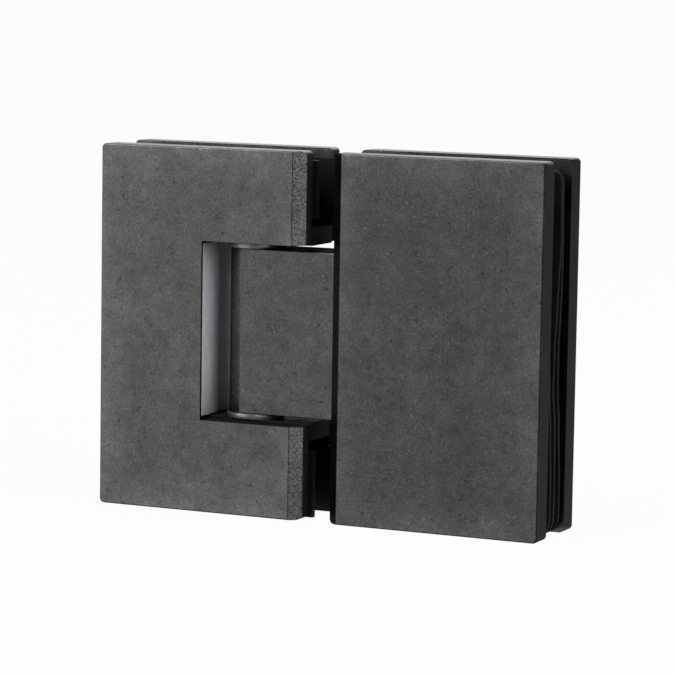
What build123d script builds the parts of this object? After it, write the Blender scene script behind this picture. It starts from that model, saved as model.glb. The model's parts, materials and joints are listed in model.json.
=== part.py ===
from build123d import *
import os

os.makedirs("parts", exist_ok=True)

# Leaves and glass slot
leaf_height = 90.0
leaf_width = 55.0
leaf_gap = 7.5
plate_thickness = 6.0
slot_width = 11.5
corner_radius = 1.2
edge_radius = 0.4
bevel_along_x = 2.7
bevel_along_y = 2.4

# Cut-out in the yoke leaf and the pivot axis
pivot_x = -21.2
cutout_half_height = 22.15
cutout_from_pivot = 9.6

# Liner strip at the back of the cut-out
liner_thickness = 2.0
liner_recess = 0.5
liner_lip = 0.8
liner_end_gap = 0.39
liner_clearance = 0.02

# Pivot block and washers
pocket_depth = 0.7
block_end_bulge = 0.15
block_right = 22.0
washer_radius = 7.2
washer_thickness = 1.34
washer_clearance = 0.03

# Pin, bushes and clips
pin_radius = 4.0
pin_flat_depth = 0.4
pin_end_flat_depth = 0.6
pin_groove_radius = 3.2
pin_tip_length = 0.8
bush_wall = 1.0
bush_length = 6.0
bush_running_clearance = 0.03
pin_bore_relief = 0.3
lug_fit_clearance = 0.02
clip_thickness = 1.0
clip_radius = 5.6
clip_clearance = 0.03
clip_mouth = 5.4

# Pin carrier
lug_proud = 0.35
lug_thickness = 4.4
carrier_screw_from_wall = 5.9
carrier_screw_from_back = 5.8
carrier_screw_from_end = 10.2

# Cap screws that fix the carrier and the block
cap_shank_radius = 2.5
cap_head_radius = 4.0
cap_head_height = 5.0
cap_socket_radius = 2.3
cap_socket_depth = 2.5
cap_hole_clearance = 0.15
cap_head_clearance = 0.2
cap_thread_depth = 4.0
block_screw_from_right = 9.0
block_screw_from_end = 5.2

# Countersunk clamp screws and their sleeves
clamp_from_leaf_end = 7.95
clamp_shank_radius = 2.5
clamp_head_radius = 4.65
clamp_socket_radius = 1.75
clamp_socket_depth = 2.0
clamp_hole_clearance = 0.2
clamp_head_clearance = 0.08
clamp_thread_depth = 4.2
sleeve_radius = 5.2
sleeve_lug_clearance = 2.1
sleeve_bore_clearance = 0.2
sleeve_end_clearance = 0.02
thread_clearance = 0.02

# Gasket sheets
gasket_thickness = 1.5
gasket_inset = 0.8
gasket_end_inset = 1.6
gasket_overhang = 1.15
gasket_hole_clearance = 0.1
gasket_corner_radius = 3.0
gasket_notch_clearance = 0.5
sheet_thickness = 1.0

# Detent
detent_z = 6.0
detent_bore_radius = 3.5
detent_fit_clearance = 0.05
plunger_length = 12.0
plunger_ride_clearance = 0.03
plunger_travel = 0.8
spring_wire_radius = 0.45
spring_coil_radius = 2.5
spring_turns = 5
spring_end_clearance = 0.1
plug_length = 8.0
plug_recess = 0.4
plug_socket_radius = 1.75
plug_socket_depth = 3.0

# Values that follow from the above
half_height = leaf_height / 2
half_gap = leaf_gap / 2
half_slot = slot_width / 2
half_depth = half_slot + plate_thickness
leaf_center = half_gap + leaf_width / 2
leaf_end = half_gap + leaf_width
block_thickness = slot_width + 2 * pocket_depth
half_block = block_thickness / 2
block_end_radius = half_block + block_end_bulge
opening_half_height = cutout_half_height - lug_proud
block_half_height = opening_half_height - washer_thickness - 2 * washer_clearance
block_screw_x = block_right - block_screw_from_right
block_screw_z = block_half_height - block_screw_from_end
cutout_x = pivot_x - cutout_from_pivot
liner_right = cutout_x - liner_recess
liner_left = liner_right - liner_thickness
liner_half_height = opening_half_height - liner_end_gap
liner_half_depth = half_depth - liner_lip - liner_clearance
lug_top = opening_half_height + lug_thickness
carrier_screw_x = liner_left - carrier_screw_from_wall
carrier_screw_z = lug_top - carrier_screw_from_end
carrier_left = carrier_screw_x - carrier_screw_from_back
clamp_x = half_gap + clamp_from_leaf_end
clamp_z = lug_top + sleeve_lug_clearance + sleeve_radius
clamp_head_depth = clamp_head_radius - clamp_shank_radius
clamp_tip_y = -half_slot - clamp_thread_depth
bush_radius = pin_radius + bush_running_clearance + bush_wall
clip_bottom = lug_top + clip_clearance
clip_top = clip_bottom + clip_thickness
pin_half_length = clip_top + clip_clearance + pin_tip_length
plunger_nose = pivot_x + pin_radius + plunger_ride_clearance
plunger_back = plunger_nose + plunger_length
plug_right = block_right - plug_recess
plug_left = plug_right - plug_length
spring_left = plunger_back + plunger_travel + spring_end_clearance
spring_length = plug_left - spring_left - 2 * spring_wire_radius

# Yoke front plate
with BuildPart() as yoke_front_plate:
    with BuildSketch(Plane.XZ.offset(half_slot)):
        with Locations((-leaf_center, 0)):
            RectangleRounded(leaf_width, leaf_height, corner_radius)
    extrude(amount=plate_thickness)
    fillet(yoke_front_plate.faces().sort_by(Axis.Y)[0].edges(), radius=edge_radius)
    with BuildSketch(Plane.XZ.offset(half_slot)):
        with Locations((cutout_x, 0)):
            Rectangle(leaf_width, 2 * cutout_half_height, align=(Align.MIN, Align.CENTER))
    extrude(amount=plate_thickness, mode=Mode.SUBTRACT)
    with BuildSketch(Plane.XZ.offset(half_slot)):
        with Locations((liner_left, 0)):
            Rectangle(
                liner_thickness + 2 * liner_recess,
                2 * liner_half_height + 2 * liner_clearance,
                align=(Align.MIN, Align.CENTER),
            )
    extrude(amount=plate_thickness - liner_lip, mode=Mode.SUBTRACT)
    with BuildSketch(Plane.XY.offset(-half_height)):
        with BuildLine():
            Polyline(
                (-half_gap - bevel_along_x, -half_depth),
                (-half_gap, -half_depth + bevel_along_y),
                (-half_gap + 1, -half_depth + bevel_along_y),
                (-half_gap + 1, -half_depth - 1),
                (-half_gap - bevel_along_x, -half_depth - 1),
                close=True,
            )
        make_face()
    extrude(amount=leaf_height, mode=Mode.SUBTRACT)
    with BuildSketch(Plane.XZ.offset(half_slot)):
        with Locations((-clamp_x, clamp_z), (-clamp_x, -clamp_z)):
            Circle(clamp_shank_radius + thread_clearance)
    extrude(amount=clamp_thread_depth, mode=Mode.SUBTRACT)
    with BuildSketch(Plane.XZ.offset(half_slot)):
        with Locations((carrier_screw_x, carrier_screw_z), (carrier_screw_x, -carrier_screw_z)):
            Circle(cap_shank_radius + thread_clearance)
    extrude(amount=cap_thread_depth, mode=Mode.SUBTRACT)
yoke_front_plate.part.label = "yoke_front_plate"
export_step(yoke_front_plate.part, "parts/yoke_front_plate.step")

# Yoke rear plate
with BuildPart() as yoke_rear_plate:
    with BuildSketch(Plane.XZ.offset(-half_depth)):
        with Locations((-leaf_center, 0)):
            RectangleRounded(leaf_width, leaf_height, corner_radius)
    extrude(amount=plate_thickness)
    fillet(yoke_rear_plate.faces().sort_by(Axis.Y)[-1].edges(), radius=edge_radius)
    with BuildSketch(Plane.XZ.offset(-half_depth)):
        with Locations((cutout_x, 0)):
            Rectangle(leaf_width, 2 * cutout_half_height, align=(Align.MIN, Align.CENTER))
    extrude(amount=plate_thickness, mode=Mode.SUBTRACT)
    with BuildSketch(Plane.XZ.offset(-half_slot)):
        with Locations((liner_left, 0)):
            Rectangle(
                liner_thickness + 2 * liner_recess,
                2 * liner_half_height + 2 * liner_clearance,
                align=(Align.MIN, Align.CENTER),
            )
    extrude(amount=liner_lip - plate_thickness, mode=Mode.SUBTRACT)
    with BuildSketch(Plane.XY.offset(-half_height)):
        with BuildLine():
            Polyline(
                (-half_gap - bevel_along_x, half_depth),
                (-half_gap, half_depth - bevel_along_y),
                (-half_gap + 1, half_depth - bevel_along_y),
                (-half_gap + 1, half_depth + 1),
                (-half_gap - bevel_along_x, half_depth + 1),
                close=True,
            )
        make_face()
    extrude(amount=leaf_height, mode=Mode.SUBTRACT)
    with BuildSketch(Plane.XZ.offset(-half_depth)):
        with Locations((-clamp_x, clamp_z), (-clamp_x, -clamp_z)):
            Circle(clamp_shank_radius + clamp_hole_clearance)
    extrude(amount=plate_thickness, mode=Mode.SUBTRACT)
    with BuildSketch(Plane.XZ.offset(-half_depth)):
        with Locations((-clamp_x, clamp_z), (-clamp_x, -clamp_z)):
            Circle(clamp_head_radius + clamp_head_clearance)
    extrude(amount=clamp_head_depth, taper=45, mode=Mode.SUBTRACT)
yoke_rear_plate.part.label = "yoke_rear_plate"
export_step(yoke_rear_plate.part, "parts/yoke_rear_plate.step")

# Pin carrier between the yoke plates
with BuildPart() as pin_carrier:
    with BuildSketch(Plane.XZ.offset(-half_slot)):
        with Locations((carrier_left, 0)):
            Rectangle(-half_gap - carrier_left, 2 * lug_top, align=(Align.MIN, Align.CENTER))
        with Locations((liner_left, 0)):
            Rectangle(
                leaf_width, 2 * opening_half_height, align=(Align.MIN, Align.CENTER), mode=Mode.SUBTRACT
            )
    extrude(amount=slot_width)
    with BuildSketch(Plane.XY.offset(-lug_top)):
        with Locations((pivot_x, 0)):
            Circle(pin_radius + lug_fit_clearance)
        with Locations((pivot_x - pin_radius + pin_end_flat_depth - lug_fit_clearance, 0)):
            Rectangle(leaf_width, slot_width, align=(Align.MIN, Align.CENTER), mode=Mode.INTERSECT)
    extrude(amount=2 * lug_top, mode=Mode.SUBTRACT)
    with BuildSketch(Plane.XZ.offset(-half_slot)):
        with Locations((carrier_screw_x, carrier_screw_z), (carrier_screw_x, -carrier_screw_z)):
            Circle(cap_shank_radius + cap_hole_clearance)
    extrude(amount=slot_width, mode=Mode.SUBTRACT)
    with BuildSketch(Plane.XZ.offset(-half_slot)):
        with Locations((carrier_screw_x, carrier_screw_z), (carrier_screw_x, -carrier_screw_z)):
            Circle(cap_head_radius + cap_head_clearance)
    extrude(amount=cap_head_height, mode=Mode.SUBTRACT)
pin_carrier.part.label = "pin_carrier"
export_step(pin_carrier.part, "parts/pin_carrier.step")

# Liner strip, pressed between the lips of the two plates
with BuildPart() as cutout_liner:
    with BuildSketch(Plane.XZ.offset(-liner_half_depth)):
        with Locations((liner_left, 0)):
            Rectangle(liner_thickness, 2 * liner_half_height, align=(Align.MIN, Align.CENTER))
    extrude(amount=2 * liner_half_depth)
cutout_liner.part.label = "cutout_liner"
export_step(cutout_liner.part, "parts/cutout_liner.step")

# Cap screws of the carrier
with BuildPart() as carrier_screw_upper:
    with BuildSketch(Plane.XZ.offset(-half_slot)):
        with Locations((carrier_screw_x, carrier_screw_z)):
            Circle(cap_head_radius)
    extrude(amount=cap_head_height)
    with BuildSketch(Plane.XZ.offset(-half_slot)):
        with Locations((carrier_screw_x, carrier_screw_z)):
            Circle(cap_shank_radius)
    extrude(amount=slot_width + cap_thread_depth)
    with BuildSketch(Plane.XZ.offset(-half_slot)):
        with Locations((carrier_screw_x, carrier_screw_z)):
            RegularPolygon(cap_socket_radius, 6)
    extrude(amount=cap_socket_depth, mode=Mode.SUBTRACT)
carrier_screw_upper.part.label = "carrier_screw_upper"
export_step(carrier_screw_upper.part, "parts/carrier_screw_upper.step")

with BuildPart() as carrier_screw_lower:
    mirror(carrier_screw_upper.part, about=Plane.XY)
carrier_screw_lower.part.label = "carrier_screw_lower"
export_step(carrier_screw_lower.part, "parts/carrier_screw_lower.step")

# Pivot pin with detent flats, keyed ends and clip grooves
with BuildPart() as pivot_pin:
    with BuildSketch(Plane.XY.offset(-pin_half_length)):
        with Locations((pivot_x, 0)):
            Circle(pin_radius)
    extrude(amount=2 * pin_half_length)
    with BuildSketch(Plane.XY.offset(opening_half_height)):
        with Locations((pivot_x - pin_radius + pin_end_flat_depth, 0)):
            Rectangle(pin_radius, 2 * pin_radius, align=(Align.MAX, Align.CENTER))
    extrude(amount=pin_half_length - opening_half_height, mode=Mode.SUBTRACT)
    with BuildSketch(Plane.XY.offset(-opening_half_height)):
        with Locations((pivot_x - pin_radius + pin_end_flat_depth, 0)):
            Rectangle(pin_radius, 2 * pin_radius, align=(Align.MAX, Align.CENTER))
    extrude(amount=opening_half_height - pin_half_length, mode=Mode.SUBTRACT)
    with BuildSketch(Plane.XY.offset(clip_bottom - clip_clearance)):
        with Locations((pivot_x, 0)):
            Circle(2 * pin_radius)
            Circle(pin_groove_radius, mode=Mode.SUBTRACT)
    extrude(amount=clip_thickness + 2 * clip_clearance, mode=Mode.SUBTRACT)
    with BuildSketch(Plane.XY.offset(-clip_bottom + clip_clearance)):
        with Locations((pivot_x, 0)):
            Circle(2 * pin_radius)
            Circle(pin_groove_radius, mode=Mode.SUBTRACT)
    extrude(amount=-clip_thickness - 2 * clip_clearance, mode=Mode.SUBTRACT)
    with BuildSketch(Plane.YZ.offset(pivot_x + pin_radius)):
        with Locations((0, detent_z), (0, -detent_z)):
            Rectangle(2 * pin_radius, 2 * detent_bore_radius + 1)
    extrude(amount=-pin_flat_depth, mode=Mode.SUBTRACT)
pivot_pin.part.label = "pivot_pin"
export_step(pivot_pin.part, "parts/pivot_pin.step")

# Retaining clips on the pin
with BuildPart() as pin_clip_upper:
    with BuildSketch(Plane.XY.offset(clip_bottom)):
        with Locations((pivot_x, 0)):
            Circle(clip_radius)
            Circle(pin_groove_radius + lug_fit_clearance, mode=Mode.SUBTRACT)
            Rectangle(2 * clip_radius, clip_mouth, align=(Align.MIN, Align.CENTER), mode=Mode.SUBTRACT)
    extrude(amount=clip_thickness)
pin_clip_upper.part.label = "pin_clip_upper"
export_step(pin_clip_upper.part, "parts/pin_clip_upper.step")

with BuildPart() as pin_clip_lower:
    mirror(pin_clip_upper.part, about=Plane.XY)
pin_clip_lower.part.label = "pin_clip_lower"
export_step(pin_clip_lower.part, "parts/pin_clip_lower.step")

# Yoke gaskets, laid on the inner faces of the plates
with BuildPart() as yoke_front_gasket:
    with BuildSketch(Plane.XZ.offset(half_slot)):
        with Locations((-leaf_end + gasket_inset, 0)):
            Rectangle(
                leaf_width - gasket_inset + gasket_overhang,
                leaf_height - 2 * gasket_end_inset,
                align=(Align.MIN, Align.CENTER),
            )
        with Locations((carrier_left - gasket_notch_clearance, 0)):
            Rectangle(
                leaf_width,
                2 * pin_half_length + 2 * gasket_notch_clearance,
                align=(Align.MIN, Align.CENTER),
                mode=Mode.SUBTRACT,
            )
        with Locations((-clamp_x, clamp_z), (-clamp_x, -clamp_z)):
            Circle(sleeve_radius + gasket_hole_clearance, mode=Mode.SUBTRACT)
    extrude(amount=-gasket_thickness)
yoke_front_gasket.part.label = "yoke_front_gasket"
export_step(yoke_front_gasket.part, "parts/yoke_front_gasket.step")

with BuildPart() as yoke_rear_gasket:
    mirror(yoke_front_gasket.part, about=Plane.XZ)
yoke_rear_gasket.part.label = "yoke_rear_gasket"
export_step(yoke_rear_gasket.part, "parts/yoke_rear_gasket.step")

# Clamp screws and sleeves of the yoke leaf
with BuildPart() as yoke_clamp_screw_upper:
    with BuildSketch(Plane.XZ.offset(-half_depth)):
        with Locations((-clamp_x, clamp_z)):
            Circle(clamp_head_radius)
    extrude(amount=clamp_head_depth, taper=45)
    with BuildSketch(Plane.XZ.offset(-half_depth)):
        with Locations((-clamp_x, clamp_z)):
            Circle(clamp_shank_radius)
    extrude(amount=half_depth - clamp_tip_y)
    with BuildSketch(Plane.XZ.offset(-half_depth)):
        with Locations((-clamp_x, clamp_z)):
            RegularPolygon(clamp_socket_radius, 6)
    extrude(amount=clamp_socket_depth, mode=Mode.SUBTRACT)
yoke_clamp_screw_upper.part.label = "yoke_clamp_screw_upper"
export_step(yoke_clamp_screw_upper.part, "parts/yoke_clamp_screw_upper.step")

with BuildPart() as yoke_clamp_screw_lower:
    mirror(yoke_clamp_screw_upper.part, about=Plane.XY)
yoke_clamp_screw_lower.part.label = "yoke_clamp_screw_lower"
export_step(yoke_clamp_screw_lower.part, "parts/yoke_clamp_screw_lower.step")

with BuildPart() as yoke_screw_sleeve_upper:
    with BuildSketch(Plane.XZ.offset(half_slot - sleeve_end_clearance)):
        with Locations((-clamp_x, clamp_z)):
            Circle(sleeve_radius)
            Circle(clamp_shank_radius + sleeve_bore_clearance, mode=Mode.SUBTRACT)
    extrude(amount=-slot_width + 2 * sleeve_end_clearance)
yoke_screw_sleeve_upper.part.label = "yoke_screw_sleeve_upper"
export_step(yoke_screw_sleeve_upper.part, "parts/yoke_screw_sleeve_upper.step")

with BuildPart() as yoke_screw_sleeve_lower:
    mirror(yoke_screw_sleeve_upper.part, about=Plane.XY)
yoke_screw_sleeve_lower.part.label = "yoke_screw_sleeve_lower"
export_step(yoke_screw_sleeve_lower.part, "parts/yoke_screw_sleeve_lower.step")

# Block front plate with a pocket for the pivot block
with BuildPart() as block_front_plate:
    with BuildSketch(Plane.XZ.offset(half_slot)):
        with Locations((leaf_center, 0)):
            RectangleRounded(leaf_width, leaf_height, corner_radius)
    extrude(amount=plate_thickness)
    fillet(block_front_plate.faces().sort_by(Axis.Y)[0].edges(), radius=edge_radius)
    with BuildSketch(Plane.XY.offset(-half_height)):
        with BuildLine():
            Polyline(
                (half_gap + bevel_along_x, -half_depth),
                (half_gap, -half_depth + bevel_along_y),
                (half_gap - 1, -half_depth + bevel_along_y),
                (half_gap - 1, -half_depth - 1),
                (half_gap + bevel_along_x, -half_depth - 1),
                close=True,
            )
        make_face()
    extrude(amount=leaf_height, mode=Mode.SUBTRACT)
    with BuildSketch(Plane.XZ.offset(half_slot)):
        with Locations((block_right, 0)):
            Rectangle(leaf_width, 2 * block_half_height, align=(Align.MAX, Align.CENTER))
    extrude(amount=pocket_depth, mode=Mode.SUBTRACT)
    with BuildSketch(Plane.XZ.offset(half_slot)):
        with Locations((clamp_x, clamp_z), (clamp_x, -clamp_z)):
            Circle(clamp_shank_radius + thread_clearance)
    extrude(amount=clamp_thread_depth, mode=Mode.SUBTRACT)
    with BuildSketch(Plane.XZ.offset(half_block)):
        with Locations((block_screw_x, block_screw_z), (block_screw_x, -block_screw_z)):
            Circle(cap_shank_radius + thread_clearance)
    extrude(amount=cap_thread_depth, mode=Mode.SUBTRACT)
block_front_plate.part.label = "block_front_plate"
export_step(block_front_plate.part, "parts/block_front_plate.step")

# Block rear plate
with BuildPart() as block_rear_plate:
    with BuildSketch(Plane.XZ.offset(-half_depth)):
        with Locations((leaf_center, 0)):
            RectangleRounded(leaf_width, leaf_height, corner_radius)
    extrude(amount=plate_thickness)
    fillet(block_rear_plate.faces().sort_by(Axis.Y)[-1].edges(), radius=edge_radius)
    with BuildSketch(Plane.XY.offset(-half_height)):
        with BuildLine():
            Polyline(
                (half_gap + bevel_along_x, half_depth),
                (half_gap, half_depth - bevel_along_y),
                (half_gap - 1, half_depth - bevel_along_y),
                (half_gap - 1, half_depth + 1),
                (half_gap + bevel_along_x, half_depth + 1),
                close=True,
            )
        make_face()
    extrude(amount=leaf_height, mode=Mode.SUBTRACT)
    with BuildSketch(Plane.XZ.offset(-half_slot)):
        with Locations((block_right, 0)):
            Rectangle(leaf_width, 2 * block_half_height, align=(Align.MAX, Align.CENTER))
    extrude(amount=-pocket_depth, mode=Mode.SUBTRACT)
    with BuildSketch(Plane.XZ.offset(-half_depth)):
        with Locations((clamp_x, clamp_z), (clamp_x, -clamp_z)):
            Circle(clamp_shank_radius + clamp_hole_clearance)
    extrude(amount=plate_thickness, mode=Mode.SUBTRACT)
    with BuildSketch(Plane.XZ.offset(-half_depth)):
        with Locations((clamp_x, clamp_z), (clamp_x, -clamp_z)):
            Circle(clamp_head_radius + clamp_head_clearance)
    extrude(amount=clamp_head_depth, taper=45, mode=Mode.SUBTRACT)
block_rear_plate.part.label = "block_rear_plate"
export_step(block_rear_plate.part, "parts/block_rear_plate.step")

# Pivot block, rounded about the pin
with BuildPart() as pivot_block:
    with BuildSketch(Plane.XY.offset(-block_half_height)):
        with Locations((pivot_x, 0)):
            Circle(block_end_radius)
            Rectangle(block_right - pivot_x, block_thickness, align=(Align.MIN, Align.CENTER))
            Rectangle(4 * leaf_width, block_thickness, mode=Mode.INTERSECT)
    extrude(amount=2 * block_half_height)
    with BuildSketch(Plane.XY.offset(-block_half_height)):
        with Locations((pivot_x, 0)):
            Circle(pin_radius + pin_bore_relief)
    extrude(amount=2 * block_half_height, mode=Mode.SUBTRACT)
    with BuildSketch(Plane.XY.offset(block_half_height)):
        with Locations((pivot_x, 0)):
            Circle(bush_radius)
    extrude(amount=-bush_length, mode=Mode.SUBTRACT)
    with BuildSketch(Plane.XY.offset(-block_half_height)):
        with Locations((pivot_x, 0)):
            Circle(bush_radius)
    extrude(amount=bush_length, mode=Mode.SUBTRACT)
    with BuildSketch(Plane.YZ.offset(pivot_x)):
        with Locations((0, detent_z), (0, -detent_z)):
            Circle(detent_bore_radius)
    extrude(amount=block_right - pivot_x, mode=Mode.SUBTRACT)
    with BuildSketch(Plane.XZ.offset(-half_block)):
        with Locations((block_screw_x, block_screw_z), (block_screw_x, -block_screw_z)):
            Circle(cap_shank_radius + cap_hole_clearance)
    extrude(amount=block_thickness, mode=Mode.SUBTRACT)
    with BuildSketch(Plane.XZ.offset(-half_block)):
        with Locations((block_screw_x, block_screw_z), (block_screw_x, -block_screw_z)):
            Circle(cap_head_radius + cap_head_clearance)
    extrude(amount=cap_head_height, mode=Mode.SUBTRACT)
pivot_block.part.label = "pivot_block"
export_step(pivot_block.part, "parts/pivot_block.step")

# Cap screws of the pivot block
with BuildPart() as block_screw_upper:
    with BuildSketch(Plane.XZ.offset(-half_block)):
        with Locations((block_screw_x, block_screw_z)):
            Circle(cap_head_radius)
    extrude(amount=cap_head_height)
    with BuildSketch(Plane.XZ.offset(-half_block)):
        with Locations((block_screw_x, block_screw_z)):
            Circle(cap_shank_radius)
    extrude(amount=block_thickness + cap_thread_depth)
    with BuildSketch(Plane.XZ.offset(-half_block)):
        with Locations((block_screw_x, block_screw_z)):
            RegularPolygon(cap_socket_radius, 6)
    extrude(amount=cap_socket_depth, mode=Mode.SUBTRACT)
block_screw_upper.part.label = "block_screw_upper"
export_step(block_screw_upper.part, "parts/block_screw_upper.step")

with BuildPart() as block_screw_lower:
    mirror(block_screw_upper.part, about=Plane.XY)
block_screw_lower.part.label = "block_screw_lower"
export_step(block_screw_lower.part, "parts/block_screw_lower.step")

# Bushes in the pivot block
with BuildPart() as upper_bush:
    with BuildSketch(Plane.XY.offset(block_half_height)):
        with Locations((pivot_x, 0)):
            Circle(bush_radius)
            Circle(pin_radius + bush_running_clearance, mode=Mode.SUBTRACT)
    extrude(amount=-bush_length)
upper_bush.part.label = "upper_bush"
export_step(upper_bush.part, "parts/upper_bush.step")

with BuildPart() as lower_bush:
    mirror(upper_bush.part, about=Plane.XY)
lower_bush.part.label = "lower_bush"
export_step(lower_bush.part, "parts/lower_bush.step")

# Thrust washers
with BuildPart() as upper_washer:
    with BuildSketch(Plane.XY.offset(block_half_height + washer_clearance)):
        with Locations((pivot_x, 0)):
            Circle(washer_radius)
            Circle(pin_radius + bush_running_clearance, mode=Mode.SUBTRACT)
    extrude(amount=washer_thickness)
upper_washer.part.label = "upper_washer"
export_step(upper_washer.part, "parts/upper_washer.step")

with BuildPart() as lower_washer:
    mirror(upper_washer.part, about=Plane.XY)
lower_washer.part.label = "lower_washer"
export_step(lower_washer.part, "parts/lower_washer.step")

# Clamp screws and sleeves of the block leaf
with BuildPart() as block_clamp_screw_upper:
    mirror(yoke_clamp_screw_upper.part, about=Plane.YZ)
block_clamp_screw_upper.part.label = "block_clamp_screw_upper"
export_step(block_clamp_screw_upper.part, "parts/block_clamp_screw_upper.step")

with BuildPart() as block_clamp_screw_lower:
    mirror(yoke_clamp_screw_lower.part, about=Plane.YZ)
block_clamp_screw_lower.part.label = "block_clamp_screw_lower"
export_step(block_clamp_screw_lower.part, "parts/block_clamp_screw_lower.step")

with BuildPart() as block_screw_sleeve_upper:
    mirror(yoke_screw_sleeve_upper.part, about=Plane.YZ)
block_screw_sleeve_upper.part.label = "block_screw_sleeve_upper"
export_step(block_screw_sleeve_upper.part, "parts/block_screw_sleeve_upper.step")

with BuildPart() as block_screw_sleeve_lower:
    mirror(yoke_screw_sleeve_lower.part, about=Plane.YZ)
block_screw_sleeve_lower.part.label = "block_screw_sleeve_lower"
export_step(block_screw_sleeve_lower.part, "parts/block_screw_sleeve_lower.step")

# Gasket sheets of the block leaf, with a packing sheet laid on the front one
with BuildPart() as block_front_gasket:
    with BuildSketch(Plane.XZ.offset(half_slot)):
        with Locations((leaf_center, 0)):
            RectangleRounded(
                leaf_width - 2 * gasket_inset, leaf_height - 2 * gasket_end_inset, gasket_corner_radius
            )
        with Locations((block_right + gasket_notch_clearance, 0)):
            Rectangle(
                leaf_width,
                2 * block_half_height + 2 * gasket_notch_clearance,
                align=(Align.MAX, Align.CENTER),
                mode=Mode.SUBTRACT,
            )
        with Locations((clamp_x, clamp_z), (clamp_x, -clamp_z)):
            Circle(sleeve_radius + gasket_hole_clearance, mode=Mode.SUBTRACT)
    extrude(amount=-sheet_thickness)
block_front_gasket.part.label = "block_front_gasket"
export_step(block_front_gasket.part, "parts/block_front_gasket.step")

with BuildPart() as block_packing_gasket:
    add(block_front_gasket.part.moved(Location((0, sheet_thickness, 0))))
block_packing_gasket.part.label = "block_packing_gasket"
export_step(block_packing_gasket.part, "parts/block_packing_gasket.step")

with BuildPart() as block_rear_gasket:
    mirror(block_front_gasket.part, about=Plane.XZ)
block_rear_gasket.part.label = "block_rear_gasket"
export_step(block_rear_gasket.part, "parts/block_rear_gasket.step")

# Detent plungers, springs and plugs in the pivot block
with BuildPart() as detent_plunger_upper:
    with BuildSketch(Plane.YZ.offset(plunger_nose)):
        with Locations((0, detent_z)):
            Circle(detent_bore_radius - detent_fit_clearance)
    extrude(amount=plunger_length)
detent_plunger_upper.part.label = "detent_plunger_upper"
export_step(detent_plunger_upper.part, "parts/detent_plunger_upper.step")

with BuildPart() as detent_plunger_lower:
    mirror(detent_plunger_upper.part, about=Plane.XY)
detent_plunger_lower.part.label = "detent_plunger_lower"
export_step(detent_plunger_lower.part, "parts/detent_plunger_lower.step")

with BuildPart() as detent_spring_upper:
    with BuildLine() as coil:
        Helix(
            pitch=spring_length / spring_turns,
            height=spring_length,
            radius=spring_coil_radius,
            center=(spring_left + spring_wire_radius, 0, detent_z),
            direction=(1, 0, 0),
        )
    with BuildSketch(Plane(origin=coil.line @ 0, z_dir=coil.line % 0)):
        RegularPolygon(spring_wire_radius, 4)
    sweep(is_frenet=True)
detent_spring_upper.part.label = "detent_spring_upper"
export_step(detent_spring_upper.part, "parts/detent_spring_upper.step")

with BuildPart() as detent_spring_lower:
    mirror(detent_spring_upper.part, about=Plane.XY)
detent_spring_lower.part.label = "detent_spring_lower"
export_step(detent_spring_lower.part, "parts/detent_spring_lower.step")

with BuildPart() as detent_plug_upper:
    with BuildSketch(Plane.YZ.offset(plug_left)):
        with Locations((0, detent_z)):
            Circle(detent_bore_radius - thread_clearance)
    extrude(amount=plug_length)
    with BuildSketch(Plane.YZ.offset(plug_right)):
        with Locations((0, detent_z)):
            RegularPolygon(plug_socket_radius, 6)
    extrude(amount=-plug_socket_depth, mode=Mode.SUBTRACT)
detent_plug_upper.part.label = "detent_plug_upper"
export_step(detent_plug_upper.part, "parts/detent_plug_upper.step")

with BuildPart() as detent_plug_lower:
    mirror(detent_plug_upper.part, about=Plane.XY)
detent_plug_lower.part.label = "detent_plug_lower"
export_step(detent_plug_lower.part, "parts/detent_plug_lower.step")
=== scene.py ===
import json
import math
import bmesh
import bpy
from mathutils import Matrix, Vector


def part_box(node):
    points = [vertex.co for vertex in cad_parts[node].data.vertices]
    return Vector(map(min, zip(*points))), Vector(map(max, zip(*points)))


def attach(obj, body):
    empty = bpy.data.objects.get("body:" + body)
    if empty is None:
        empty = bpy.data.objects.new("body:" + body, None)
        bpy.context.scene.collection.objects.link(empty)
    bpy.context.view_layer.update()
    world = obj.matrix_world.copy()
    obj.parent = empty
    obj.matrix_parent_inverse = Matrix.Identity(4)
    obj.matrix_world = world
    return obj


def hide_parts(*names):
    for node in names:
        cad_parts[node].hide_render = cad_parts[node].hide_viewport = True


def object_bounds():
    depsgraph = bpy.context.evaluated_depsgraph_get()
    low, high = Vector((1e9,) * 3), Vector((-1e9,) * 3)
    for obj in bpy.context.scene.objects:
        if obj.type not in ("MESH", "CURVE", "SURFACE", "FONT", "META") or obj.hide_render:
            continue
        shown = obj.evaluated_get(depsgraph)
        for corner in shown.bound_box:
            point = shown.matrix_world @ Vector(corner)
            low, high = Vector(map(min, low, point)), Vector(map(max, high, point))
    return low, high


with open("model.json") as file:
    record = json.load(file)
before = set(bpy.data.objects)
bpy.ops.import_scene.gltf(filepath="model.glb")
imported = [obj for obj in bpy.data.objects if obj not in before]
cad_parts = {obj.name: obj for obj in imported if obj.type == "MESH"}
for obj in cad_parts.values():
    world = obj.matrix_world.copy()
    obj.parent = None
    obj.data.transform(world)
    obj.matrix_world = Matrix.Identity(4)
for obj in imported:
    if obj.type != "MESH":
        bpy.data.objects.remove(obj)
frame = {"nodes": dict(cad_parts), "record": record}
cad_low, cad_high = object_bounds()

MM = 0.001
nodes = frame["nodes"]
bodies = frame["record"]["behaviour"]["bodies"]

# A leaf's box, the same on both sides of the gap when X is counted outwards from the middle
leaf_low, leaf_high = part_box("block_front_plate")
leaf_inner_x = leaf_low.x
leaf_outer_x = leaf_high.x
leaf_half_height = leaf_high.z
leaf_outer_y = -leaf_low.y
bevel_width = 2.7 * MM
face_margin = 0.3 * MM

# A box round the cut-out and the part of the pivot block that turns in it
cutout_half_height = 22.3 * MM
cutout_reach = 40 * MM

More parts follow.
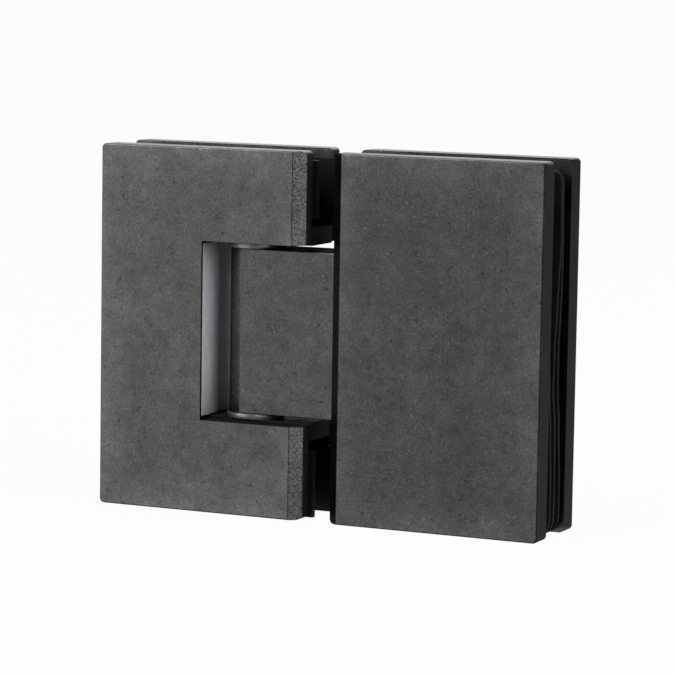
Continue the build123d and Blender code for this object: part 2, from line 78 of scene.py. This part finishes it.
# Share of X in a face's normal, on a bevel and on a side or end face
bevel_turn = 0.66
bevel_turn_range = 0.2
side_turn = 0.9
# A face looks up or down when X and Y have less than this in its normal
level_turn = 0.3

# Most of a noise lies between these two values
noise_low = 0.3
noise_high = 0.7


# Node helpers
def start_material(name):
    material = bpy.data.materials.new(name)
    material.use_nodes = True
    tree = material.node_tree
    shader = tree.nodes["Principled BSDF"]
    place = tree.nodes.new("ShaderNodeTexCoord").outputs["Object"]
    return material, tree, shader, place


# The scale counts cells in a metre, and a stretch gives it for each axis
def noise(tree, place, scale=1, detail=3.0, stretch=None, rough=0.55):
    if stretch:
        mapping = tree.nodes.new("ShaderNodeMapping")
        mapping.inputs["Scale"].default_value = stretch
        tree.links.new(place, mapping.inputs["Vector"])
        place = mapping.outputs["Vector"]
    node = tree.nodes.new("ShaderNodeTexNoise")
    node.inputs["Scale"].default_value = scale
    node.inputs["Detail"].default_value = detail
    node.inputs["Roughness"].default_value = rough
    tree.links.new(place, node.inputs["Vector"])
    return node.outputs["Fac"]


def ramp(tree, value, low, high, color_low, color_high):
    node = tree.nodes.new("ShaderNodeValToRGB")
    node.color_ramp.elements[0].position = low
    node.color_ramp.elements[1].position = high
    node.color_ramp.elements[0].color = (*color_low, 1)
    node.color_ramp.elements[1].color = (*color_high, 1)
    tree.links.new(value, node.inputs["Fac"])
    return node.outputs["Color"]


def spread(tree, value, low, high, to_low, to_high):
    node = tree.nodes.new("ShaderNodeMapRange")
    node.inputs["From Min"].default_value = low
    node.inputs["From Max"].default_value = high
    node.inputs["To Min"].default_value = to_low
    node.inputs["To Max"].default_value = to_high
    tree.links.new(value, node.inputs["Value"])
    return node.outputs["Result"]


def mix(tree, kind, first, second):
    node = tree.nodes.new("ShaderNodeMix")
    node.data_type = "RGBA"
    node.blend_type = kind
    node.inputs["Factor"].default_value = 1.0
    tree.links.new(first, node.inputs["A"])
    tree.links.new(second, node.inputs["B"])
    return node.outputs["Result"]


def layered(tree, color, *shades):
    for shade in shades:
        color = mix(tree, "MULTIPLY", color, shade)
    return color


def mottled(tree, place, dark, light, **pattern):
    return ramp(tree, noise(tree, place, **pattern), noise_low, noise_high, dark, light)


def uneven(tree, place, low, high, **pattern):
    return spread(tree, noise(tree, place, **pattern), noise_low, noise_high, low, high)


def bump(tree, shader, height, distance, strength):
    node = tree.nodes.new("ShaderNodeBump")
    node.inputs["Strength"].default_value = strength
    node.inputs["Distance"].default_value = distance
    tree.links.new(height, node.inputs["Height"])
    tree.links.new(node.outputs["Normal"], shader.inputs["Normal"])


def gray(level):
    return (level, level, level)


def arithmetic(tree, operation, first, second):
    node = tree.nodes.new("ShaderNodeMath")
    node.operation = operation
    for socket, value in zip(node.inputs, (first, second)):
        if isinstance(value, (int, float)):
            socket.default_value = value
        else:
            tree.links.new(value, socket)
    return node.outputs[0]


def magnitude(tree, value):
    return arithmetic(tree, "ABSOLUTE", value, 0.0)


def both(tree, first, second):
    return arithmetic(tree, "MULTIPLY", first, second)


def parts_of(tree, vector):
    node = tree.nodes.new("ShaderNodeSeparateXYZ")
    tree.links.new(vector, node.inputs[0])
    return node.outputs


# 1 on an open face, falling towards 0 in a crevice; used to paint shade into crevices
def openness(tree, reach):
    node = tree.nodes.new("ShaderNodeAmbientOcclusion")
    node.inputs["Distance"].default_value = reach
    return node.outputs["AO"]


# 1 where a value lies within a reach of another, 0 elsewhere
def near(tree, value, center, reach):
    result = arithmetic(tree, "COMPARE", value, center)
    result.node.inputs[2].default_value = reach
    return result


def across_leaf(tree, place):
    return magnitude(tree, parts_of(tree, place)[0])


# How near a point of a leaf lies to the leaf's outer edges: 1 at the edge, 0 further in
def edge_share(tree, place, reach):
    across = across_leaf(tree, place)
    left = arithmetic(tree, "SUBTRACT", across, leaf_inner_x)
    right = arithmetic(tree, "SUBTRACT", leaf_outer_x, across)
    end = arithmetic(tree, "SUBTRACT", leaf_half_height, magnitude(tree, parts_of(tree, place)[2]))
    distance = arithmetic(tree, "MINIMUM", arithmetic(tree, "MINIMUM", left, right), end)
    return spread(tree, distance, 0.0, reach, 1.0, 0.0)


# Base colour of the gunmetal, from a wide drift of tint down to fine grain and pits
def gunmetal_mottle(tree, place, tone_and_light, contrast):
    # For the leaf plates the tone also stands in for light: the yoke leaf's is painted lighter, the block
    # leaf's darker
    warm = (0.184 * tone_and_light, 0.179 * tone_and_light, 0.174 * tone_and_light)
    cool = (0.171 * tone_and_light, 0.174 * tone_and_light, 0.179 * tone_and_light)
    white = gray(1.0)
    tint = ramp(tree, noise(tree, place, scale=55), 0.35, 0.65, warm, cool)
    patches = ramp(tree, noise(tree, place, scale=95, rough=0.5), 0.33, 0.67, gray(0.80), white)
    clouds = mottled(tree, place, gray(1 - 0.20 * contrast), white, scale=330, rough=0.6)
    grain = mottled(tree, place, gray(1 - 0.38 * contrast), white, scale=1700, rough=0.7)
    pits = ramp(tree, noise(tree, place, scale=900, detail=2), 0.27, 0.38, gray(1 - 0.3 * contrast), white)
    return layered(tree, tint, patches, clouds, grain, pits)


# Shades of a plate: paler towards its edges from wear, speckled bevels carrying painted light and shade at
# the given levels, and a painted shade line where the inner bevel begins
def plate_wear_and_light(tree, place, turned, bevel_light_levels):
    wear_reach = 9 * MM
    crease_half_width = 0.11 * MM
    worn = both(tree, edge_share(tree, place, wear_reach), noise(tree, place, scale=120))
    worn = both(tree, worn, arithmetic(tree, "LESS_THAN", turned, side_turn))
    edges = ramp(tree, worn, 0.0, 0.6, gray(0.84), gray(1.22))
    # Bevel speckle levels are painted light on the yoke leaf and painted shade on the block leaf, whose
    # bevel faces a dark end
    speckle = spread(tree, noise(tree, place, scale=2700, rough=0.7), 0.36, 0.64, *bevel_light_levels)
    bevel_speckle_and_light = arithmetic(tree, "POWER", speckle, near(tree, turned, bevel_turn, bevel_turn_range))
    crease = near(tree, across_leaf(tree, place), leaf_inner_x + bevel_width, crease_half_width)
    outside = near(tree, magnitude(tree, parts_of(tree, place)[1]), leaf_outer_y, face_margin)
    # Painted shade line along the crease where the inner bevel begins
    painted_crease_shade = ramp(tree, both(tree, crease, outside), 0.0, 1.0, gray(1.0), gray(0.35))
    return edges, bevel_speckle_and_light, painted_crease_shade


# 1 on the upper and lower faces in and about the cut-out and on the plates' inner ends, where shade is
# painted, 0 elsewhere
def painted_shade_faces(tree, place, facing, turned):
    level = both(tree, near(tree, facing[1], 0.0, level_turn), near(tree, facing[0], 0.0, level_turn))
    inner_x = arithmetic(tree, "LESS_THAN", across_leaf(tree, place), cutout_reach)
    inner_z = near(tree, parts_of(tree, place)[2], 0.0, cutout_half_height)
    cutout = both(tree, level, both(tree, inner_x, inner_z))
    inner_end = near(tree, across_leaf(tree, place), leaf_inner_x, face_margin)
    inner_end = both(tree, inner_end, arithmetic(tree, "GREATER_THAN", turned, side_turn))
    return arithmetic(tree, "MAXIMUM", cutout, inner_end)


# Mottled gunmetal, with painted shade on the dull faces in and about the cut-out and on the plates' inner
# ends
def make_gunmetal(name, tone_and_light, contrast, bevel_light_levels=None):
    material, tree, shader, place = start_material(name)
    facing = parts_of(tree, tree.nodes.new("ShaderNodeTexCoord").outputs["Normal"])
    turned = magnitude(tree, facing[0])
    color = gunmetal_mottle(tree, place, tone_and_light, contrast)
    if bevel_light_levels:
        color = layered(tree, color, *plate_wear_and_light(tree, place, turned, bevel_light_levels))
    glints = ramp(tree, noise(tree, place, scale=1500, detail=2), 0.64, 0.76, gray(0.0), gray(0.075))
    color = mix(tree, "ADD", color, glints)
    cut = painted_shade_faces(tree, place, facing, turned)
    # Painted shade: these faces in the cut-out, between the parts and facing the gap are darkened and dulled
    color = layered(tree, color, ramp(tree, cut, 0.0, 1.0, gray(1.0), gray(0.12)))
    metallic = spread(tree, cut, 0.0, 1.0, 1.0, 0.1)
    specular = spread(tree, cut, 0.0, 1.0, 0.5, 0.05)
    dullness = spread(tree, cut, 0.0, 1.0, 0.0, 0.8)
    rough = arithmetic(tree, "MAXIMUM", uneven(tree, place, 0.30, 0.42, scale=420, detail=4), dullness)
    tree.links.new(color, shader.inputs["Base Color"])
    tree.links.new(metallic, shader.inputs["Metallic"])
    tree.links.new(specular, shader.inputs["Specular IOR Level"])
    tree.links.new(rough, shader.inputs["Roughness"])
    bump(tree, shader, noise(tree, place, scale=1500, rough=0.65), distance=0.06 * MM, strength=0.4)
    return material


# Blackened metal of the pin carrier, with fine upright tool lines
def make_smooth_metal():
    material, tree, shader, place = start_material("smooth_metal")
    shader.inputs["Specular IOR Level"].default_value = 0.25
    cloud = mottled(tree, place, gray(0.006), gray(0.014), scale=160)
    lines = mottled(tree, place, gray(0.7), gray(1.0), stretch=(5200, 5200, 60))
    rough = uneven(tree, place, 0.5, 0.62, scale=500)
    tree.links.new(layered(tree, cloud, lines), shader.inputs["Base Color"])
    tree.links.new(rough, shader.inputs["Roughness"])
    grooves = noise(tree, place, detail=2, stretch=(4000, 4000, 50))
    bump(tree, shader, grooves, distance=0.02 * MM, strength=0.15)
    return material


# Stainless screws, pin, clips, plungers, plugs and springs
def make_steel():
    material, tree, shader, place = start_material("steel")
    shader.inputs["Metallic"].default_value = 1.0
    cloud = mottled(tree, place, (0.40, 0.40, 0.405), (0.50, 0.50, 0.51), scale=330, detail=4)
    marks = noise(tree, place, detail=4, stretch=(700, 700, 6500))
    marks = ramp(tree, marks, 0.3, 0.6, gray(0.82), gray(1.0))
    rough = uneven(tree, place, 0.24, 0.38, scale=900)
    tree.links.new(layered(tree, cloud, marks), shader.inputs["Base Color"])
    tree.links.new(rough, shader.inputs["Roughness"])
    bump(tree, shader, noise(tree, place, stretch=(600, 600, 5200)), distance=0.02 * MM, strength=0.2)
    return material


# Black gasket rubber
def make_rubber():
    material, tree, shader, place = start_material("gasket_rubber")
    shader.inputs["Specular IOR Level"].default_value = 0.3
    dust = noise(tree, place, scale=240, detail=5, rough=0.65)
    dust = ramp(tree, dust, 0.35, 0.75, gray(0.003), gray(0.008))
    specks = mottled(tree, place, gray(0.75), gray(1.0), scale=2600, detail=2)
    rough = uneven(tree, place, 0.5, 0.68, scale=600, detail=4)
    tree.links.new(layered(tree, dust, specks), shader.inputs["Base Color"])
    tree.links.new(rough, shader.inputs["Roughness"])
    bump(tree, shader, noise(tree, place, scale=2200), distance=0.05 * MM, strength=0.3)
    return material


# Satin grey metal-filled plastic of the thrust washers
def make_washer_plastic():
    material, tree, shader, place = start_material("washer_plastic")
    shader.inputs["Metallic"].default_value = 0.7
    cloud = mottled(tree, place, (0.27, 0.272, 0.277), (0.32, 0.322, 0.328), scale=420, detail=4)
    rings = mottled(tree, place, gray(0.9), gray(1.0), stretch=(500, 500, 5200))
    # Painted shade: darker where the washer sits deep in the crevice
    painted_crevice_shade = ramp(tree, openness(tree, 5 * MM), 0.1, 0.55, gray(0.05), gray(1.0))
    rough = uneven(tree, place, 0.26, 0.38, scale=700)
    tree.links.new(layered(tree, cloud, rings, painted_crevice_shade), shader.inputs["Base Color"])
    tree.links.new(rough, shader.inputs["Roughness"])
    grooves = noise(tree, place, detail=2, stretch=(400, 400, 4600))
    bump(tree, shader, grooves, distance=0.03 * MM, strength=0.2)
    return material


# Pale nylon of the liner strip
def make_liner_nylon():
    material, tree, shader, place = start_material("liner_nylon")
    cloud = mottled(tree, place, (0.367, 0.380, 0.398), (0.432, 0.447, 0.466), scale=260, detail=4)
    lines = mottled(tree, place, gray(0.92), gray(1.0), stretch=(900, 5200, 60))
    # Painted shade: darker deeper in the cut-out, away from the opening
    painted_crevice_shade = ramp(tree, openness(tree, 14 * MM), 0.3, 0.85, gray(0.29), gray(1.0))
    rough = uneven(tree, place, 0.45, 0.58, scale=700)
    tree.links.new(layered(tree, cloud, lines, painted_crevice_shade), shader.inputs["Base Color"])
    tree.links.new(rough, shader.inputs["Roughness"])
    bump(tree, shader, noise(tree, place, scale=1500), distance=0.03 * MM, strength=0.2)
    return material


# Black moulded plastic of the sleeves and bushes
def make_sleeve_plastic():
    material, tree, shader, place = start_material("sleeve_plastic")
    cloud = mottled(tree, place, gray(0.018), gray(0.034), scale=300, detail=4)
    rough = uneven(tree, place, 0.2, 0.3, scale=800)
    tree.links.new(cloud, shader.inputs["Base Color"])
    tree.links.new(rough, shader.inputs["Roughness"])
    bump(tree, shader, noise(tree, place, scale=1800), distance=0.04 * MM, strength=0.25)
    return material


# Materials by slot; each leaf's plates have a gunmetal of their own, the yoke leaf's painted lighter and the
# block leaf's painted darker to stand in for the light falling on them
lit_and_shaded_plate_metals = {
    "yoke_leaf": make_gunmetal("gunmetal_yoke_painted_lighter", tone_and_light=1.24, contrast=1.25, bevel_light_levels=(0.36, 2.04)),
    "block_leaf": make_gunmetal("gunmetal_block_painted_darker", tone_and_light=0.95, contrast=1.25, bevel_light_levels=(0.15, 0.3)),
}
materials = {
    "gunmetal": make_gunmetal("gunmetal_pivot", tone_and_light=0.97, contrast=1.3),
    "smooth_metal": make_smooth_metal(),
    "steel": make_steel(),
    "gasket_rubber": make_rubber(),
    "washer_plastic": make_washer_plastic(),
    "liner_nylon": make_liner_nylon(),
    "sleeve_plastic": make_sleeve_plastic(),
}
for subpart in frame["record"]["subparts"]:
    mesh = nodes[subpart["node"]].data
    mesh.materials.clear()
    mesh.materials.append(materials[subpart["material_slot"]])
plates = [name for name in nodes if name.endswith("plate")]
for leaf, metal in lit_and_shaded_plate_metals.items():
    for name in plates:
        if name in bodies[leaf]:
            nodes[name].data.materials[0] = metal

# Rounding of sharp edges
outer_edge = 0.22 * MM
inner_edge = 0.12 * MM
sleeve_edge = 0.4 * MM
sheet_edge = 0.1 * MM


def soften(thing, width):
    joined = thing.modifiers.new("joined", "WELD")
    joined.merge_threshold = 0.0005 * MM
    round_over = thing.modifiers.new("edge", "BEVEL")
    round_over.width = width
    round_over.segments = 2
    round_over.limit_method = "ANGLE"
    round_over.angle_limit = math.radians(32)


for name in (*plates, "pivot_block"):
    soften(nodes[name], outer_edge)
for name in ("pin_carrier", "cutout_liner", "upper_washer", "lower_washer"):
    soften(nodes[name], inner_edge)
for name in nodes:
    if "sleeve" in name:
        soften(nodes[name], sleeve_edge)

# Loose gasket sheets: cut into strips, bent out of their flat lie towards the free edge, sagging at the ends
strip = 1.6 * MM
weld_distance = 0.0001 * MM
flat_angle = 0.01
sag_top = 0.8 * MM
sag_bottom = 1.5 * MM
sag_start = 39.5 * MM


def ease(t):
    return t * t * (3 - 2 * t)


# The offset at a height, eased from one station to the next below it
def wave(stations, offsets, z):
    for k in range(len(stations) - 1):
        if stations[k] >= z >= stations[k + 1]:
            t = (stations[k] - z) / (stations[k] - stations[k + 1])
            return offsets[k] + ease(t) * (offsets[k + 1] - offsets[k])
    return offsets[0] if z > stations[0] else offsets[-1]


def cut_into_strips(work, low, high):
    bmesh.ops.remove_doubles(work, verts=work.verts, dist=weld_distance)
    bmesh.ops.dissolve_limit(work, angle_limit=flat_angle, verts=work.verts, edges=work.edges)
    for axis in (2, 0):
        at = low[axis] + strip
        normal = Vector((axis == 0, 0, axis == 2))
        while at < high[axis] - strip / 2:
            geometry = work.verts[:] + work.edges[:] + work.faces[:]
            bmesh.ops.bisect_plane(work, geom=geometry, plane_co=normal * at, plane_no=normal)
            at += strip


def bend_sheet(node, body, held_x, stations, offsets):
    low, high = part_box(node)
    lie = (low.y + high.y) / 2
    free_x = high.x if held_x > 0 else low.x
    mesh = nodes[node].data.copy()
    work = bmesh.new()
    work.from_mesh(mesh)
    cut_into_strips(work, low, high)
    for vert in work.verts:
        t = (vert.co.x - held_x) / (free_x - held_x)
        t = ease(min(1.0, max(0.0, t)))
        vert.co.y += t * (wave(stations, offsets, vert.co.z / MM) * MM - lie)
        near_end = (abs(vert.co.z) - sag_start) / (high.z - sag_start)
        sag = sag_top if vert.co.z > 0 else sag_bottom
        vert.co.z -= sag * max(0.0, near_end)
    work.to_mesh(mesh)
    work.free()
    mesh.name = node + "_bent"
    sheet = bpy.data.objects.new(node + "_bent", mesh)
    bpy.context.collection.objects.link(sheet)
    soften(sheet, sheet_edge)
    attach(sheet, body)
    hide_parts(node)


# Where each free edge lies, as Y in mm at stations of Z in mm, from the top down
block_held_x = 17 * MM
block_stations = (47, 36, 25, 15.5, 9.5, 0, -9.5, -19, -33, -47)
block_waves = {
    "block_front_gasket": (-5.2, -5.2, -5.1, -4.9, -4.6, -4.2, -3.6, -2.4, -1.5, -1.6),
    "block_packing_gasket": (0.9, 1.6, 1.95, 0.9, 0.3, -0.9, -1.1, 0.5, 1.0, 0.8),
    "block_rear_gasket": (2.2, 2.7, 3.1, 3.05, 2.65, 1.75, 1.85, 3.2, 4.3, 4.4),
}
for name, offsets in block_waves.items():
    bend_sheet(name, "block_leaf", block_held_x, block_stations, offsets)
yoke_held_x = -46 * MM
yoke_stations = (45, 30, 12, -6, -24, -45)
yoke_waves = {
    "yoke_front_gasket": (-4.7, -4.9, -4.6, -4.8, -4.5, -4.8),
    "yoke_rear_gasket": (4.8, 4.6, 4.9, 4.6, 4.8, 4.7),
}
for name, offsets in yoke_waves.items():
    bend_sheet(name, "yoke_leaf", yoke_held_x, yoke_stations, offsets)


def mix_shaders(tree, share, first, second):
    node = tree.nodes.new("ShaderNodeMixShader")
    tree.links.new(share, node.inputs["Fac"])
    tree.links.new(first, node.inputs[1])
    tree.links.new(second, node.inputs[2])
    return node.outputs[0]


# Pale floor, nearly white to the camera, that still takes a faint shadow
def make_floor():
    size = 24
    drop = 0.05 * MM
    white_share = 0.96
    material = bpy.data.materials.new("pale_floor")
    material.use_nodes = True
    tree = material.node_tree
    tree.nodes.clear()
    output = tree.nodes.new("ShaderNodeOutputMaterial")
    matt = tree.nodes.new("ShaderNodeBsdfDiffuse")
    matt.inputs["Color"].default_value = (0.75, 0.75, 0.75, 1)
    glow = tree.nodes.new("ShaderNodeEmission")
    glow.inputs["Strength"].default_value = 1.0
    seen = tree.nodes.new("ShaderNodeLightPath").outputs["Is Camera Ray"]
    share = arithmetic(tree, "MULTIPLY", seen, white_share)
    surface = mix_shaders(tree, share, matt.outputs[0], glow.outputs[0])
    tree.links.new(surface, output.inputs["Surface"])
    bpy.ops.mesh.primitive_plane_add(size=size, location=(0, 0, cad_low.z - drop))
    floor = bpy.context.object
    floor.name = "floor"
    floor.data.materials.append(material)
    floor.visible_glossy = False


make_floor()


# Direction of a viewer or a light, in degrees from the front towards +X and up
def toward(azimuth, elevation):
    a = math.radians(azimuth)
    e = math.radians(elevation)
    return Vector((math.sin(a) * math.cos(e), -math.cos(a) * math.cos(e), math.sin(e)))


# Soft round panel: at its level out to the inner angle from its middle, fading to nothing at the outer one
def panel(tree, place, azimuth, elevation, inner, outer, level):
    dot = tree.nodes.new("ShaderNodeVectorMath")
    dot.operation = "DOT_PRODUCT"
    dot.inputs[1].default_value = toward(azimuth, elevation)
    tree.links.new(place, dot.inputs[0])
    edge = math.cos(math.radians(outer))
    core = math.cos(math.radians(inner))
    fade = spread(tree, dot.outputs["Value"], edge, core, 0.0, level)
    fade.node.interpolation_type = "SMOOTHSTEP"
    return fade


def background(tree, strength):
    node = tree.nodes.new("ShaderNodeBackground")
    node.inputs["Color"].default_value = (1, 1, 1, 1)
    node.inputs["Strength"].default_value = strength
    return node


# World: a white backdrop for the camera, soft white panels in reflections, and a little light from all round
def make_world():
    backdrop_level = 1.0
    reflected_level = 1.0
    surround_level = 0.05
    darkest_reflection = 0.12
    world = bpy.data.worlds.new("studio")
    bpy.context.scene.world = world
    world.use_nodes = True
    tree = world.node_tree
    tree.nodes.clear()
    output = tree.nodes.new("ShaderNodeOutputWorld")
    path = tree.nodes.new("ShaderNodeLightPath").outputs
    place = tree.nodes.new("ShaderNodeTexCoord").outputs["Generated"]
    panels = (
        panel(tree, place, azimuth=-38, elevation=-7, inner=14, outer=40, level=1.0),
        panel(tree, place, azimuth=62, elevation=18, inner=16, outer=42, level=1.0),
        panel(tree, place, azimuth=205, elevation=12, inner=14, outer=34, level=1.0),
        panel(tree, place, azimuth=125, elevation=-30, inner=10, outer=40, level=0.6),
        panel(tree, place, azimuth=0, elevation=88, inner=20, outer=60, level=0.7),
    )
    brightness = panels[0]
    for other in (*panels[1:], darkest_reflection):
        brightness = arithmetic(tree, "MAXIMUM", brightness, other)
    backdrop = background(tree, backdrop_level)
    surround = background(tree, surround_level)
    mirror = background(tree, reflected_level)
    tree.links.new(brightness, mirror.inputs["Color"])
    seen = arithmetic(tree, "MAXIMUM", path["Is Camera Ray"], path["Is Transmission Ray"])
    unseen = mix_shaders(tree, path["Is Glossy Ray"], surround.outputs[0], mirror.outputs[0])
    surface = mix_shaders(tree, seen, unseen, backdrop.outputs[0])
    tree.links.new(surface, output.inputs["Surface"])


make_world()


# Soft area lights, aimed at the middle of the object
def add_light(name, azimuth, elevation, distance, size, power):
    data = bpy.data.lights.new(name, "AREA")
    data.shape = "SQUARE"
    data.size = size
    data.energy = power
    light = bpy.data.objects.new(name, data)
    bpy.context.collection.objects.link(light)
    back = toward(azimuth, elevation)
    light.location = back * distance
    light.rotation_euler = back.to_track_quat("Z", "Y").to_euler()
    light.visible_camera = False
    return light


add_light("key", azimuth=-40, elevation=35, distance=1.3, size=1.0, power=8)
fill = add_light("fill", azimuth=78, elevation=2, distance=1.3, size=1.3, power=58)
fill.visible_glossy = False
add_light("back", azimuth=190, elevation=45, distance=1.4, size=0.9, power=4)


# Camera at the photograph's viewing angle
def make_camera():
    target = Vector((6.208, -11.75, 0.72)) * MM
    distance = 796.58 * MM
    roll = math.radians(0.917)
    back = toward(azimuth=24.783, elevation=6.772)
    data = bpy.data.cameras.new("camera")
    data.sensor_width = 36
    data.lens = 176.58
    data.clip_start = 0.01
    data.clip_end = 100
    camera = bpy.data.objects.new("camera", data)
    bpy.context.collection.objects.link(camera)
    right = Vector((0, 0, 1)).cross(back).normalized()
    up = back.cross(right)
    across = right * math.cos(roll) + up * math.sin(roll)
    along = up * math.cos(roll) - right * math.sin(roll)
    turn = Matrix((across, along, back)).transposed().to_4x4()
    camera.matrix_world = Matrix.Translation(target + back * distance) @ turn
    bpy.context.scene.camera = camera


make_camera()
bpy.context.scene.view_settings.view_transform = "Standard"
